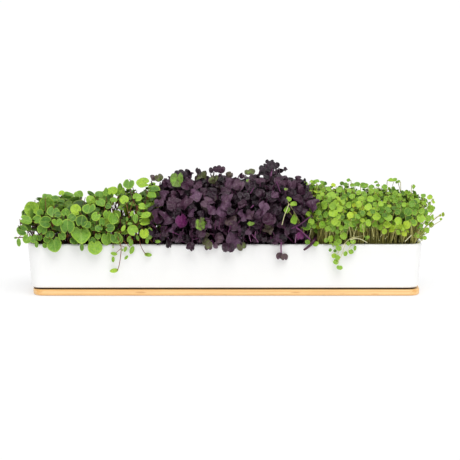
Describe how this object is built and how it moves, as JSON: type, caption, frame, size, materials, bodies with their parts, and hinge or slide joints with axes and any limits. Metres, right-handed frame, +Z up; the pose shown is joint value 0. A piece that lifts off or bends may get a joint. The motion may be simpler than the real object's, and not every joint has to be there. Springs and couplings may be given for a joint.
{
  "type": "indoor herb planter",
  "caption": "Long windowsill trough in white glazed ceramic on a bamboo drip tray, densely sown with seedlings: round leaves, purple radish and cress.",
  "frame": {"origin": "middle of the drip tray's flat underside", "axes": "+Z up, +X along the trough to the viewer's right, -Y towards the viewer (front)"},
  "size_m": [0.4489, 0.1214, 0.1431],
  "materials": {
    "bamboo": "satin",
    "white_glaze": "gloss",
    "screen": "matte",
    "potting_mix": "matte",
    "roundleaf_stem": "satin",
    "roundleaf_canopy": "matte",
    "roundleaf_leaf": "satin",
    "radish_stem": "satin",
    "radish_canopy": "matte",
    "radish_leaf": "satin",
    "cress_stem": "satin",
    "cress_canopy": "matte",
    "cress_leaf": "satin"
  },
  "bodies": {
    "tray": {"bamboo_tray": "bamboo"},
    "trough": {"ceramic_trough": "white_glaze", "drain_screen_1": "screen", "drain_screen_2": "screen", "drain_screen_3": "screen"},
    "bed": {"potting_mix": "potting_mix", "roundleaf_stem_mass": "roundleaf_stem", "roundleaf_canopy": "roundleaf_canopy", "roundleaf_stems": "roundleaf_stem", "roundleaf_leaves": "roundleaf_leaf", "roundleaf_trailing_stems": "roundleaf_stem", "roundleaf_trailing_leaflets": "roundleaf_leaf", "radish_stem_mass": "radish_stem", "radish_canopy": "radish_canopy", "radish_stems": "radish_stem", "radish_leaves": "radish_leaf", "radish_trailing_stems": "radish_stem", "radish_trailing_leaflets": "radish_leaf", "cress_stem_mass": "cress_stem", "cress_canopy": "cress_canopy", "cress_stems": "cress_stem", "cress_leaves": "cress_leaf", "cress_trailing_stems": "cress_stem", "cress_trailing_leaflets": "cress_leaf"}
  },
  "joints": [
    {"name": "trough_lift", "type": "slide", "parent": "tray", "child": "trough", "axis": [0, 0, 1], "range_m": [0, 0.06]},
    {"name": "bed_lift", "type": "slide", "parent": "trough", "child": "bed", "axis": [0, 0, 1], "range_m": [0, 0.07]}
  ]
}
